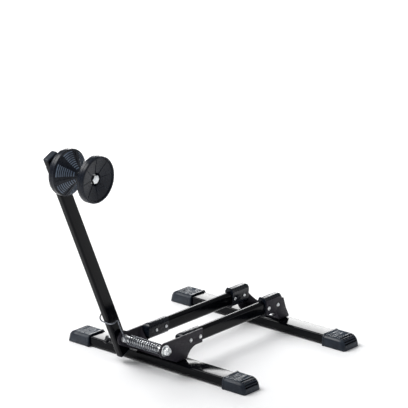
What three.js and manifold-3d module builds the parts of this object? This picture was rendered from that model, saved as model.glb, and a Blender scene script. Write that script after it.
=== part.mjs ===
// Folding floor rack for one bicycle wheel. Millimetres, +Z up.
// +X runs along the feet towards the pivot nut, +Y from the front foot to the rear foot.
// The origin is on the floor, under the middle of the standing rack.
// The wheel rolls in between two rails; a sprung arm carries a grooved roller against the tyre.

import * as THREE from 'three';
import { mergeVertices } from 'three/addons/utils/BufferGeometryUtils.js';
import Module from 'manifold-3d';

// ---------- driving dimensions ----------

const GAP = 0.3;                  // between pieces that rest on or sit in each other
const HOLE_CLEARANCE = 0.3;       // radial, between a shank and its hole

// two feet, each a rounded rectangular tube with a moulded cap on both ends
const FOOT_SPACING = 272;
const FOOT_LENGTH = 372;
const FOOT_WIDTH = 36;
const FOOT_HEIGHT = 16;
const FOOT_WALL = 1.4;
const FOOT_CORNER = 3;
const CAP_LENGTH = 47;
const CAP_SIDE = 3.7;             // wall beside the tube
const CAP_FLOOR = 2;              // wall under the tube
const CAP_ROOF = 2;               // wall over the tube
const CAP_TOE = 7;                // solid end in front of the tube
const CAP_NOSE_RADIUS = 15;       // round end of the cap, from the side
const CAP_EASE = 1.5;             // small chamfer round the floor
const CAP_CHAMFER = 5;            // along the top and round the nose
const CAP_DRAFT = 0.6;            // lean of the sides
const CAP_LIP = 0.8;              // flare of the open end
const CAP_LIP_LENGTH = 3;
const CAP_RIDGES = 7;
const CAP_RIDGE_PITCH = 3.9;
const CAP_GROOVE_WIDTH = 1.7;
const CAP_GROOVE_DEPTH = 0.8;
const CAP_NOSE_GROOVES = 4;
const CAP_NOSE_STEP = 17;         // degrees between the grooves on the nose
const CAP_GROOVE_INSET = 0.5;     // ends of the grooves, from the chamfer

// two flat-oval rails that the wheel rolls between, with a moulded sleeve on each end
const RAIL_SPACING = 72;
const RAIL_INSET = 7;             // the rails' ends, from the feet's middles towards the wheel
const RAIL_WIDTH = 12.6;
const RAIL_HEIGHT = 25;
const RAIL_WALL = 1.3;
const SLEEVE_LENGTH = 46;
const SLEEVE_SIDE = 0.9;          // thin side walls, to fit inside the bracket
const SLEEVE_TOP = 1.6;           // over the rail
const SLEEVE_PAD = 5.5;           // thick top of the rear sleeves
const SLEEVE_BOTTOM = 1.2;
const SLEEVE_END = 2;
const SLEEVE_NOSE = 8;            // solid round end of the front sleeves
const SLEEVE_LIP = 1;             // flare of the rear sleeves
const SLEEVE_LIP_LENGTH = 2.2;

// pressed sheet brackets: a U of two wings and a base, with a scooped web across it
const SHEET = 2.4;
const BEND_RADIUS = 4;
const WING_FOOT_END = 9;          // where the scoop under the wings meets the foot, from its middle
const WING_BOTTOM_HEIGHT = 22;    // underside of the wings over the foot tube's top
const WING_SCOOP_RADIUS = 27;
const WING_REACH = 49;            // from the foot's middle towards the wheel
const REAR_WING_TOP_INSET = 8;    // end of the top edge, from the foot's middle towards the wheel
const REAR_WING_HEEL = 15;        // end of the bottom edge, behind the foot's middle
const FAR_WING_DROP = 3.6;        // lower top edge on the arm's side, which the spring's leg passes over
const WEB_SLEEVE_CLEARANCE = 1.6; // between the web and the ends of the sleeves
const WEB_INSET = 4.5;            // foot of the web, from the foot tube's side
const WEB_CORNER_DROP = 4;        // corners of the web, below the wings' top
const WEB_SCOOP_RADIUS = 47;
const WEB_LOW_POINT = 11;         // lowest point of the scoop over the base
const BRACKET_SCREW_SPACING = 44;
const BRACKET_SCREW_INSET = 2.5;  // from the foot's middle towards the wheel
const BRACKET_SCREW_RADIUS = 3;
const SCREW_HEAD_RADIUS = 5.5;
const SCREW_HEAD_HEIGHT = 3.4;
const SQUARE_NUT_WIDTH = 10;
const SQUARE_NUT_HEIGHT = 5;
const RIVET_PITCH = 25;
const RIVET_INSET = 18;           // nearer rivet, from the foot's middle towards the wheel
const RIVET_RADIUS = 2;
const RIVET_HEAD_RADIUS = 3.7;
const RIVET_HEAD_HEIGHT = 1.9;
const RIVET_TAIL_RADIUS = 3;
const RIVET_TAIL_HEIGHT = 1.4;

// pivot of the arm
const PIVOT_AHEAD = 49;           // in front of the front foot's middle
const PIVOT_HEIGHT = 49.5;        // the rails' middle is at the same height
const NOSE_RADIUS = 13;
const BOLT_RADIUS = 4;
const THREAD_CLEARANCE = 0.15;    // radial, between a bolt and its nuts, washers and tubes
const BOLT_PROTRUSION = 1.5;      // past its nut
const BOLT_HEAD_WIDTH = 13;       // across flats
const BOLT_HEAD_HEIGHT = 5.3;
const WASHER_RADIUS = 10;
const WASHER_THICKNESS = 1.6;
const PIVOT_HEAD_WASHER_RADIUS = 9;
const LOCKNUT_HEIGHT = 8;
const LOCKNUT_COLLAR = 5.6;       // radius
const CLAMP_NUT_HEIGHT = 6.5;
const SPACER_LENGTH = 3.4;        // between the arm and the bracket
const SPACER_RADIUS = 8;

// torsion spring round the pivot, one leg through the web and one across the arm
const SPRING_WIRE = 2.2;
const SPRING_RADIUS = 7.9;        // to the middle of the wire
const SPRING_TURNS = 20;
const SPRING_LENGTH = 70;
const SPRING_STEPS = 8;           // per turn
const SPRING_SIDES = 5;
const SPRING_CORE_RADIUS = 5.4;
const SHORT_LEG = 52;
const SHORT_LEG_SLOPE = 10;       // degrees, down towards the wheel
const HOOK_HEIGHT = 46;           // where the leg crosses the arm, from the pivot
const HOOK_REACH = 6;             // past the arm's far side

// arm
const ARM_LEAN = 25.5;            // degrees ahead of upright, as it stands with a wheel in
const ARM_WIDTH = 13;
const ARM_DEPTH = 25;
const ARM_WALL = 1.5;
const ARM_CORNER = 3.5;
const ARM_REACH = 363.3;          // pivot to roller axis
const ARM_HEAD = 24;              // past the roller axis
const ARM_TAIL = 38;              // past the pivot
const ARM_BUSH_RADIUS = 6;
const BUSH_PROUD = 0.5;           // past the arm's left face
const PLUG_INSERT = 14;
const PLUG_CROWN = 3;

// roller: two grooved halves, turning on a tube that the axle bolt clamps
const ROLLER_RADIUS = 38.7;
const ROLLER_HALF_WIDTH = 36.5;
const ROLLER_RIM = 12;            // width of the rim band
const ROLLER_WAIST = 9;
const ROLLER_DISH = 6.5;
const ROLLER_LIP = 3.5;
const ROLLER_RIDGES = 7;
const ROLLER_RIDGE_HEIGHT = 0.9;
const ROLLER_RIBS = 6;
const ROLLER_BORE_CLEARANCE = 0.3;
const ROLLER_HUB_RADIUS = 11;
const ROLLER_HUB_DROP = 6.5;      // seat round the bore, below the dish
const ROLLER_RIB_THICKNESS = 1.4;
const AXLE_TUBE_RADIUS = 5.5;
const AXLE_WASHER_RADIUS = 7.8;
const AXLE_SPACER_FOOT = 10;      // radius against the arm
const AXLE_SPACER_TIP = 7.5;      // radius against the roller

// thumbscrew through the arm's tail, which clamps the arm to the bracket
const LOCK_BELOW = 12.5;          // from the pivot
const LOCK_RADIUS = 2.5;
const LOCK_TIP_CLEARANCE = 1;
const LOCK_NUT_WIDTH = 8;
const LOCK_NUT_HEIGHT = 2.6;
const KNOB_STANDOFF = 10;
const KNOB_SPAN = 22;
const KNOB_LENGTH = 13;
const KNOB_HUB_RADIUS = 5.2;
const KNOB_BAR_WIDTH = 6;

const DEGREES = Math.PI / 180;
const HAIR = 0.05;                // keeps the arcs of a fully round side apart

// ---------- derived places ----------

const footBottom = CAP_FLOOR + GAP;
const footTop = footBottom + FOOT_HEIGHT;
const capHeight = footTop + GAP + CAP_ROOF;
const baseBottom = footTop + GAP;
const frontFootY = -FOOT_SPACING / 2;
const rearFootY = FOOT_SPACING / 2;
const pivotY = frontFootY - PIVOT_AHEAD;
const railLength = FOOT_SPACING - 2 * RAIL_INSET;
const wingInnerEnd = frontFootY + WING_REACH;
const railX = RAIL_SPACING / 2;
const sleeveHalfWidth = RAIL_WIDTH / 2 + GAP + SLEEVE_SIDE;
const wingInner = railX + sleeveHalfWidth + GAP;
const wingOuter = wingInner + SHEET;
const wingTop = PIVOT_HEIGHT + NOSE_RADIUS;
const wingBottom = footTop + WING_BOTTOM_HEIGHT - SHEET;
const webFootY = FOOT_WIDTH / 2 - WEB_INSET;      // ahead of the foot's middle
const webHeight = wingTop - WEB_CORNER_DROP - baseBottom - SHEET;
const screwPlaces = [-BRACKET_SCREW_SPACING / 2, BRACKET_SCREW_SPACING / 2];
const rivetPlaces = [rearFootY - RIVET_INSET - RIVET_PITCH, rearFootY - RIVET_INSET];
const armRight = -(wingOuter + SPACER_LENGTH + 2 * GAP);
const armX = armRight - ARM_WIDTH / 2;
const armLeft = armRight - ARM_WIDTH;
const armLean = ARM_LEAN * DEGREES;
const armEnd = ARM_REACH + ARM_HEAD;
const clampNutEnd = -wingInner + GAP + CLAMP_NUT_HEIGHT;
const boltBore = BOLT_RADIUS + THREAD_CLEARANCE;

// the spring's short leg leaves the coil from below, in the pivot's frame
const legX = SPRING_LENGTH / 2;
const legSlope = SHORT_LEG_SLOPE * DEGREES;
const legY = -SPRING_RADIUS * Math.sin(legSlope);
const legZ = -SPRING_RADIUS * Math.cos(legSlope);

// ---------- materials ----------

const finish = (color, roughness, metalness) =>
  new THREE.MeshStandardMaterial({ color, roughness, metalness });

const blackPaint = () => finish(0x0b0c10, 0.22, 0.3);
const bracketPaint = () => finish(0x201f26, 0.5, 0.3);
const capPlastic = () => finish(0x2a3038, 0.55, 0);
const rollerPlastic = () => finish(0x14171d, 0.38, 0);
const zinc = () => finish(0xb9bfc6, 0.3, 0.9);
const springSteel = () => finish(0x8d9096, 0.32, 0.9);
const knobPlastic = () => finish(0x0e0f12, 0.45, 0);

// ---------- solids ----------

const manifold = await Module();
manifold.setup();

// a closed three.js geometry as a solid, with its faces turned outwards
function solid(geometry) {
  const bare = geometry.clone();
  bare.deleteAttribute('normal');
  bare.deleteAttribute('uv');
  const merged = mergeVertices(bare, 1e-4);
  const vertProperties = new Float32Array(merged.attributes.position.array);
  const kept = [];
  const index = merged.index.array;
  for (let i = 0; i < index.length; i += 3) {
    const [a, b, c] = [index[i], index[i + 1], index[i + 2]];
    if (a !== b && b !== c && c !== a) kept.push(a, b, c);
  }
  let volume = 0;
  const corner = (i) => new THREE.Vector3().fromArray(vertProperties, 3 * i);
  for (let i = 0; i < kept.length; i += 3) {
    volume += corner(kept[i]).dot(corner(kept[i + 1]).cross(corner(kept[i + 2])));
  }
  if (volume < 0) kept.reverse();
  const mesh = new manifold.Mesh({ numProp: 3, vertProperties, triVerts: new Uint32Array(kept) });
  return new manifold.Manifold(mesh);
}

function geometryOf(body) {
  const mesh = body.getMesh();
  const geometry = new THREE.BufferGeometry();
  geometry.setAttribute('position', new THREE.BufferAttribute(new Float32Array(mesh.vertProperties), 3));
  geometry.setIndex(new THREE.BufferAttribute(new Uint32Array(mesh.triVerts), 1));
  geometry.computeVertexNormals();
  return geometry;
}

const joined = (bodies) => bodies.reduce((whole, body) => whole.add(body));
const cutBy = (body, cutters) => cutters.reduce((rest, cutter) => rest.subtract(cutter), body);

const extruded = (shape, depth, curveSegments = 6) =>
  new THREE.ExtrudeGeometry(shape, { depth, bevelEnabled: false, curveSegments });

// a shape drawn in (y, z), from x0 to x1
function alongX(shape, x0, x1, curveSegments) {
  const geometry = extruded(shape, x1 - x0, curveSegments);
  const turn = new THREE.Matrix4().makeBasis(
    new THREE.Vector3(0, 1, 0), new THREE.Vector3(0, 0, 1), new THREE.Vector3(1, 0, 0));
  return solid(geometry.applyMatrix4(turn).translate(x0, 0, 0));
}

// a shape drawn in (x, z), from y0 to y1
const alongY = (shape, y0, y1, curveSegments) =>
  solid(extruded(shape, y1 - y0, curveSegments).rotateX(Math.PI / 2).translate(0, y1, 0));

// a shape drawn in (x, y), from z0 to z1
const alongZ = (shape, z0, z1, curveSegments) =>
  solid(extruded(shape, z1 - z0, curveSegments).translate(0, 0, z0));

function box(x0, x1, y0, y1, z0, z1) {
  const geometry = new THREE.BoxGeometry(x1 - x0, y1 - y0, z1 - z0);
  return solid(geometry.translate((x0 + x1) / 2, (y0 + y1) / 2, (z0 + z1) / 2));
}

// a profile of [x, radius] points turned round the X axis through (y, z)
function turnedX(profile, y, z, segments) {
  const points = profile.map(([x, radius]) => new THREE.Vector2(radius, x));
  const geometry = new THREE.LatheGeometry(points, segments).rotateZ(-Math.PI / 2);
  return solid(geometry.translate(0, y, z));
}

const rodX = (x0, x1, radius, y, z, segments = 12) =>
  turnedX([[x0, 0], [x0, radius], [x1, radius], [x1, 0]], y, z, segments);

function ringX(x0, x1, bore, radius, segments = 16) {
  const profile = [[x0, bore], [x0, radius], [x1, radius], [x1, bore], [x0, bore]];
  return turnedX(profile, 0, 0, segments);
}

const circle = (radius) => new THREE.Shape().absarc(0, 0, radius, 0, 2 * Math.PI);

function roundedRectangle(width, height, radius, centreX = 0, centreY = 0) {
  const [w, h] = [width / 2 - radius, height / 2 - radius];
  const shape = new THREE.Shape();
  shape.absarc(centreX + w, centreY + h, radius, 0, Math.PI / 2);
  shape.absarc(centreX - w, centreY + h, radius, Math.PI / 2, Math.PI);
  shape.absarc(centreX - w, centreY - h, radius, Math.PI, 1.5 * Math.PI);
  shape.absarc(centreX + w, centreY - h, radius, 1.5 * Math.PI, 2 * Math.PI);
  return shape;
}

function tubeSection(width, height, radius, wall) {
  const shape = roundedRectangle(width, height, radius);
  shape.holes.push(roundedRectangle(width - 2 * wall, height - 2 * wall, radius - wall));
  return shape;
}

function polygon(points) {
  return new THREE.Shape(points.map(([a, b]) => new THREE.Vector2(a, b)));
}

function hexagon(acrossFlats) {
  const radius = acrossFlats / Math.sqrt(3);
  const corner = (i) => [radius * Math.cos(i * 60 * DEGREES), radius * Math.sin(i * 60 * DEGREES)];
  return polygon([0, 1, 2, 3, 4, 5].map(corner));
}

// hexagon on the X axis with both rims chamfered, and a bore if one is given
function hexNut(x0, x1, acrossFlats, bore = 0) {
  const tip = acrossFlats / Math.sqrt(3);
  const flat = acrossFlats / 2;
  const slope = (tip - flat) * 0.6;
  const turned = [[x0, 0], [x0, flat], [x0 + slope, tip], [x1 - slope, tip], [x1, flat], [x1, 0]];
  const blank = alongX(hexagon(acrossFlats), x0, x1).intersect(turnedX(turned, 0, 0, 18));
  return bore ? blank.subtract(rodX(x0 - 1, x1 + 1, bore, 0, 0)) : blank;
}

// a bolt on the X axis: its head's face, the tip, and the way it points from the head
function bolt(headFace, tip) {
  const way = Math.sign(tip - headFace);
  const chamfer = 0.8;
  const shank = [[headFace - way * 0.5, 0], [headFace - way * 0.5, BOLT_RADIUS],
    [tip - way * chamfer, BOLT_RADIUS], [tip, BOLT_RADIUS - chamfer], [tip, 0]];
  const ends = [headFace, headFace - way * BOLT_HEAD_HEIGHT].sort((a, b) => a - b);
  return turnedX(shank, 0, 0, 16).add(hexNut(ends[0], ends[1], BOLT_HEAD_WIDTH));
}

// ---------- the scene ----------

const rack = new THREE.Group();

function place(parent, name, body, material) {
  const mesh = new THREE.Mesh(geometryOf(body), material);
  mesh.name = name;
  parent.add(mesh);
  return mesh;
}

// ---------- feet ----------

function footTube(screwOffset) {
  const section = tubeSection(FOOT_WIDTH, FOOT_HEIGHT, FOOT_CORNER, FOOT_WALL);
  const tube = alongX(section, -FOOT_LENGTH / 2, FOOT_LENGTH / 2, 3)
    .translate([0, 0, footBottom + FOOT_HEIGHT / 2]);
  const hole = circle(BRACKET_SCREW_RADIUS + HOLE_CLEARANCE);
  const drill = alongZ(hole, footTop - 2 * FOOT_WALL, footTop + 1, 8);
  return cutBy(tube, screwPlaces.map((x) => drill.translate([x, screwOffset, 0])));
}

// the cap's outer section in (y, z): chamfered over the top, eased below
function capSection(extra) {
  const half = FOOT_WIDTH / 2 + GAP + CAP_SIDE + extra;
  const top = capHeight + extra;
  const shoulder = top - CAP_CHAMFER;
  return polygon([
    [-half + CAP_EASE, 0], [half - CAP_EASE, 0], [half, CAP_EASE], [half - 1, shoulder],
    [half - CAP_CHAMFER, top], [-half + CAP_CHAMFER, top], [-half + 1, shoulder], [-half, CAP_EASE],
  ]);
}

// the cap from the side in (x, z), a given distance inside its outline
function capProfile(inset) {
  const [noseX, noseZ] = [CAP_LENGTH - CAP_NOSE_RADIUS, capHeight - CAP_NOSE_RADIUS];
  const side = new THREE.Shape();
  side.lineTo(CAP_LENGTH - inset, 0);
  side.absarc(noseX, noseZ, CAP_NOSE_RADIUS - inset, 0, Math.PI / 2);
  side.lineTo(0, capHeight - inset);
  return side;
}

// a cap for the +X end, built with its open end at x = 0
function footCap() {
  const half = FOOT_WIDTH / 2 + GAP + CAP_SIDE;
  const crown = half - CAP_CHAMFER;
  const cheek = half - CAP_DRAFT;
  const eased = half - CAP_EASE;
  const slab = 0.5;
  const outside = manifold.Manifold.hull([
    alongY(capProfile(0), -crown, crown, 6),
    alongY(capProfile(CAP_CHAMFER), -cheek, cheek, 6).trimByPlane([0, 0, 1], CAP_EASE),
    box(0, CAP_LENGTH - CAP_EASE, -eased, eased, 0, slab),
    box(0, CAP_LENGTH - CAP_CHAMFER, -half, half, CAP_EASE, CAP_EASE + slab),
  ]).add(alongX(capSection(CAP_LIP), 0, CAP_LIP_LENGTH).trimByPlane([0, 0, 1], 0));
  const socket = roundedRectangle(FOOT_WIDTH + 2 * GAP, FOOT_HEIGHT + 2 * GAP, FOOT_CORNER + GAP,
    0, footBottom + FOOT_HEIGHT / 2);
  const cutters = [alongX(socket, -1, CAP_LENGTH - CAP_TOE, 3)];
  const grooveHalf = half - CAP_CHAMFER - CAP_GROOVE_INSET;
  for (let i = 0; i <= CAP_RIDGES; i += 1) {
    const x = 2 * CAP_LIP_LENGTH + i * CAP_RIDGE_PITCH;
    cutters.push(box(x, x + CAP_GROOVE_WIDTH, -grooveHalf, grooveHalf,
      capHeight - CAP_GROOVE_DEPTH, capHeight + 2));
  }
  const noseGroove = box(-CAP_GROOVE_WIDTH / 2, CAP_GROOVE_WIDTH / 2, -grooveHalf, grooveHalf,
    CAP_NOSE_RADIUS - CAP_GROOVE_DEPTH, CAP_NOSE_RADIUS + 2);
  for (let i = 1; i <= CAP_NOSE_GROOVES; i += 1) {
    cutters.push(noseGroove.rotate([0, i * CAP_NOSE_STEP, 0])
      .translate([CAP_LENGTH - CAP_NOSE_RADIUS, 0, capHeight - CAP_NOSE_RADIUS]));
  }
  return cutBy(outside, cutters);
}

function buildFoot(name, y, screwOffset) {
  const foot = new THREE.Group();
  foot.position.y = y;
  rack.add(foot);
  place(foot, `${name}_foot_tube`, footTube(screwOffset), blackPaint());
  const cap = footCap();
  const ends = [['right', 1], ['left', -1]];
  for (const [side, direction] of ends) {
    const holder = new THREE.Group();
    holder.position.x = direction * (FOOT_LENGTH / 2 + GAP + CAP_TOE - CAP_LENGTH);
    holder.rotation.z = direction > 0 ? 0 : Math.PI;
    foot.add(holder);
    place(holder, `${name}_${side}_foot_cap`, cap, capPlastic());
  }
}

// ---------- brackets ----------

// U section of a bracket in (x, z), bends rounded inside and out
function bracketSection() {
  const height = wingTop - baseBottom;
  const outer = roundedRectangle(2 * wingOuter, 2 * height, BEND_RADIUS, 0, wingTop);
  outer.holes.push(roundedRectangle(2 * wingInner, 2 * (height - SHEET), BEND_RADIUS - SHEET, 0, wingTop));
  return outer;
}

// where the scoop under the wings meets the foot, as the arc's centre and its end angle
function scoop(footEnd) {
  const drop = wingBottom - WING_SCOOP_RADIUS;
  const rise = baseBottom - drop;
  const run = Math.sqrt(WING_SCOOP_RADIUS ** 2 - rise ** 2);
  return { y: footEnd + run, z: drop, end: Math.PI - Math.asin(rise / WING_SCOOP_RADIUS) };
}

// side outlines in (y, z): inner end, scoop down to the foot, then the outer end
function wingOutline(outerEnd) {
  const arc = scoop(frontFootY + WING_FOOT_END);
  const shape = new THREE.Shape();
  shape.moveTo(wingInnerEnd, wingTop);
  shape.lineTo(wingInnerEnd, wingBottom);
  shape.absarc(arc.y, arc.z, WING_SCOOP_RADIUS, Math.PI / 2, arc.end);
  outerEnd(shape);
  return shape;
}

function frontWingOutline() {
  return wingOutline((shape) => {
    const footEnd = frontFootY - webFootY - 1;
    const across = Math.hypot(footEnd - pivotY, PIVOT_HEIGHT - baseBottom);
    const towards = Math.atan2(baseBottom - PIVOT_HEIGHT, footEnd - pivotY);
    const tangent = towards - Math.acos(NOSE_RADIUS / across);
    shape.lineTo(footEnd, baseBottom);
    shape.absarc(pivotY, PIVOT_HEIGHT, NOSE_RADIUS, tangent, -1.5 * Math.PI, true);
  });
}

function rearWingOutline() {
  return wingOutline((shape) => {
    const heel = frontFootY - REAR_WING_HEEL;
    shape.lineTo(heel + SHEET, baseBottom);
    shape.lineTo(heel, baseBottom + SHEET);
    shape.lineTo(frontFootY + REAR_WING_TOP_INSET, wingTop);
  });
}

// where a rail's sleeve ends, as at the front of the rack
const sleeveEnd = (name) => -railLength / 2 - GAP - (name === 'front' ? SLEEVE_NOSE : SLEEVE_END);

// sloping web with a round scoop in its top edge, where the tyre drops in
function bracketWeb(name) {
  const webFoot = frontFootY - webFootY + SHEET;
  const webLean = Math.atan2(sleeveEnd(name) - WEB_SLEEVE_CLEARANCE - webFoot, webHeight);
  const height = webHeight / Math.cos(webLean);
  const low = WEB_LOW_POINT / Math.cos(webLean);
  const half = wingInner + SHEET / 2;
  const face = new THREE.Shape();
  face.moveTo(-half, 0);
  face.lineTo(half, 0);
  face.lineTo(half, height);
  const reach = Math.acos(Math.min(1, (WEB_SCOOP_RADIUS - (height - low)) / WEB_SCOOP_RADIUS));
  const centre = low + WEB_SCOOP_RADIUS;
  face.absarc(0, centre, WEB_SCOOP_RADIUS, -Math.PI / 2 + reach, -Math.PI / 2 - reach, true);
  face.lineTo(-half, height);
  const web = solid(extruded(face, SHEET, 12))
    .rotate([90 - webLean / DEGREES, 0, 0])
    .translate([0, webFoot, baseBottom + SHEET / 2]);
  return name === 'front' ? web.subtract(springHole()) : web;
}

// the spring's short leg passes through the front web here
function springHole() {
  const drill = rodX(0, SHORT_LEG + 20, SPRING_WIRE / 2 + 3 * HOLE_CLEARANCE, 0, 0);
  return drill.rotate([0, 0, 90]).rotate([-SHORT_LEG_SLOPE, 0, 0])
    .translate([legX, pivotY + legY, PIVOT_HEIGHT + legZ]);
}

// takes the far wing's top edge down, from just behind the pivot to its inner end
function farWingCut() {
  const ledge = wingTop - FAR_WING_DROP;
  const inner = wingInnerEnd + 1;
  const outline = polygon([[pivotY + 2, wingTop + 1], [pivotY + 2, wingTop], [pivotY + 10, ledge],
    [inner, ledge], [inner, wingTop + 1]]);
  return alongX(outline, -wingOuter - 1, -wingInner + 1);
}

function bracket(name) {
  const front = name === 'front';
  const sides = alongX(front ? frontWingOutline() : rearWingOutline(), -wingOuter - 1, wingOuter + 1, 9);
  const sheet = alongY(bracketSection(), pivotY - 2 * NOSE_RADIUS, wingInnerEnd + 1, 3).intersect(sides);
  const drill = (y, radius, segments) =>
    rodX(-wingOuter - 1, wingOuter + 1, radius, y, PIVOT_HEIGHT, segments);
  const hole = circle(BRACKET_SCREW_RADIUS + HOLE_CLEARANCE);
  const screwHole = alongZ(hole, baseBottom - 1, baseBottom + SHEET + 1, 8);
  const cutters = [
    ...rivetPlaces.map((y) => drill(-y, RIVET_RADIUS + HOLE_CLEARANCE, 8)),
    ...screwPlaces.map((x) => screwHole.translate([x, frontFootY + BRACKET_SCREW_INSET, 0])),
  ];
  if (front) cutters.push(drill(pivotY, BOLT_RADIUS + HOLE_CLEARANCE, 12), farWingCut());
  return cutBy(joined([sheet, bracketWeb(name)]), cutters).trimByPlane([0, 0, 1], baseBottom);
}

// panhead screws hold each bracket to square nuts inside the foot tube
function bracketScrew() {
  const tip = footTop - FOOT_WALL - SQUARE_NUT_HEIGHT - 2;
  const headBase = baseBottom + SHEET + GAP;
  const headTop = headBase + SCREW_HEAD_HEIGHT;
  const profile = [
    [tip, 0], [tip, BRACKET_SCREW_RADIUS], [headBase, BRACKET_SCREW_RADIUS], [headBase, SCREW_HEAD_RADIUS],
    [headBase + 0.6 * SCREW_HEAD_HEIGHT, 0.94 * SCREW_HEAD_RADIUS], [headTop, 0.6 * SCREW_HEAD_RADIUS],
    [headTop, 0],
  ];
  return turnedX(profile, 0, 0, 12).rotate([0, -90, 0]);
}

function bracketNut() {
  const top = footTop - FOOT_WALL - GAP;
  const bottom = top - SQUARE_NUT_HEIGHT;
  return alongZ(roundedRectangle(SQUARE_NUT_WIDTH, SQUARE_NUT_WIDTH, 1), bottom, top, 1)
    .subtract(alongZ(circle(BRACKET_SCREW_RADIUS + THREAD_CLEARANCE), bottom - 1, top + 1, 8));
}

function buildBracket(name) {
  const half = new THREE.Group();
  if (name === 'rear') half.rotation.z = Math.PI;
  rack.add(half);
  place(half, `${name}_bracket`, bracket(name), bracketPaint());
  for (const x of screwPlaces) {
    const side = (name === 'front') === (x > 0) ? 'right' : 'left';
    const seat = new THREE.Group();
    seat.position.set(x, frontFootY + BRACKET_SCREW_INSET, 0);
    half.add(seat);
    place(seat, `${name}_${side}_bracket_screw`, bracketScrew(), zinc());
    place(seat, `${name}_${side}_bracket_nut`, bracketNut(), zinc());
  }
}

// ---------- rails ----------

// rivet hole through a rail or sleeve that stands at x = 0
const rivetDrill = (y) =>
  rodX(-RAIL_WIDTH, RAIL_WIDTH, RIVET_RADIUS + HOLE_CLEARANCE, y, PIVOT_HEIGHT, 8);

function rail() {
  const section = tubeSection(RAIL_WIDTH, RAIL_HEIGHT, RAIL_WIDTH / 2 - HAIR, RAIL_WALL);
  const tube = alongY(section, -railLength / 2, railLength / 2, 4).translate([0, 0, PIVOT_HEIGHT]);
  return cutBy(tube, rivetPlaces.flatMap((y) => [rivetDrill(y), rivetDrill(-y)]));
}

const sleeveBase = PIVOT_HEIGHT - RAIL_HEIGHT / 2 - GAP - SLEEVE_BOTTOM;

// the rear sleeves' outer section in (x, z): padded and chamfered on top, eased below
function paddedSection(extra) {
  const half = sleeveHalfWidth + extra;
  const high = PIVOT_HEIGHT + RAIL_HEIGHT / 2 + GAP + SLEEVE_PAD + extra;
  const low = sleeveBase - extra;
  return polygon([
    [-half + 3, low], [half - 3, low], [half, low + 4], [half, high - 7], [half - 2, high - 2],
    [half - 4, high], [-half + 4, high], [-half + 2, high - 2], [-half, high - 7], [-half, low + 4],
  ]);
}

// a rear sleeve's outside, drawn as for the front of the rack: a padded block with a flared open end
function paddedOutside(outerEnd, innerEnd) {
  const top = PIVOT_HEIGHT + RAIL_HEIGHT / 2 + GAP + SLEEVE_PAD;
  const lipStart = Math.max(innerEnd - SLEEVE_LIP_LENGTH, wingInnerEnd + GAP);
  const [past, under] = [innerEnd + 1, PIVOT_HEIGHT - RAIL_HEIGHT];
  const side = polygon([
    [outerEnd, under], [past, under], [past, top + 2], [outerEnd + 5, top + 2], [outerEnd + 5, top],
    [outerEnd + 1.5, top - 2], [outerEnd, top - 6],
  ]);
  return joined([
    alongY(paddedSection(0), outerEnd, innerEnd), alongY(paddedSection(SLEEVE_LIP), lipStart, innerEnd),
  ]).intersect(alongX(side, -RAIL_WIDTH, RAIL_WIDTH));
}

// a front sleeve's outside: a low round section that ends in a round nose
function roundOutside(outerEnd, innerEnd) {
  const top = PIVOT_HEIGHT + RAIL_HEIGHT / 2 + GAP + SLEEVE_TOP;
  const [height, middle] = [top - sleeveBase, (top + sleeveBase) / 2];
  const section = roundedRectangle(2 * sleeveHalfWidth, height, sleeveHalfWidth - 2 * HAIR, 0, middle);
  const side = roundedRectangle(2 * (innerEnd - outerEnd), height + HAIR, SLEEVE_NOSE, innerEnd, middle);
  return alongY(section, outerEnd, innerEnd, 4).intersect(alongX(side, -RAIL_WIDTH, RAIL_WIDTH, 4));
}

// moulded sleeve on the end of a rail, standing at x = 0, drawn as for the front of the rack
function railSleeve(name) {
  const outerEnd = sleeveEnd(name);
  const innerEnd = -railLength / 2 - GAP - SLEEVE_END + SLEEVE_LENGTH;
  const outside = name === 'front' ? roundOutside(outerEnd, innerEnd) : paddedOutside(outerEnd, innerEnd);
  const socket = roundedRectangle(RAIL_WIDTH + 2 * GAP, RAIL_HEIGHT + 2 * GAP, RAIL_WIDTH / 2 + GAP - HAIR,
    0, PIVOT_HEIGHT);
  return cutBy(outside, [
    alongY(socket, -railLength / 2 - GAP, innerEnd + 1, 4), ...rivetPlaces.map((y) => rivetDrill(-y)),
  ]);
}

// rivet on the X axis, its domed head outside the bracket's wing and pointing +X
function rivet() {
  const head = wingOuter - railX + GAP;
  const tail = -sleeveHalfWidth - GAP;
  const tailEnd = tail - RIVET_TAIL_HEIGHT;
  const profile = [
    [tailEnd, 0], [tailEnd, 0.8 * RIVET_TAIL_RADIUS], [tail, RIVET_TAIL_RADIUS], [tail, RIVET_RADIUS],
    [head, RIVET_RADIUS], [head, RIVET_HEAD_RADIUS],
    [head + 0.75 * RIVET_HEAD_HEIGHT, 0.65 * RIVET_HEAD_RADIUS], [head + RIVET_HEAD_HEIGHT, 0],
  ];
  return turnedX(profile, 0, 0, 10);
}

function buildRails() {
  const sides = [['right', 1], ['left', -1]];
  const [tube, pin] = [rail(), rivet()];
  for (const [side, direction] of sides) {
    const line = new THREE.Group();
    line.position.x = direction * railX;
    rack.add(line);
    place(line, `${side}_rail`, tube, blackPaint());
    for (const [end, turn] of [['front', 0], ['rear', Math.PI]]) {
      const holder = new THREE.Group();
      holder.rotation.z = turn;
      line.add(holder);
      place(holder, `${side}_${end}_rail_sleeve`, railSleeve(end), capPlastic());
      rivetPlaces.forEach((y, i) => {
        const seat = new THREE.Group();
        seat.position.set(0, end === 'front' ? -y : y, PIVOT_HEIGHT);
        seat.rotation.z = direction > 0 ? 0 : Math.PI;
        line.add(seat);
        place(seat, `${side}_${end}_rail_rivet_${i + 1}`, pin, zinc());
      });
    }
  }
}

// ---------- pivot ----------

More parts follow.
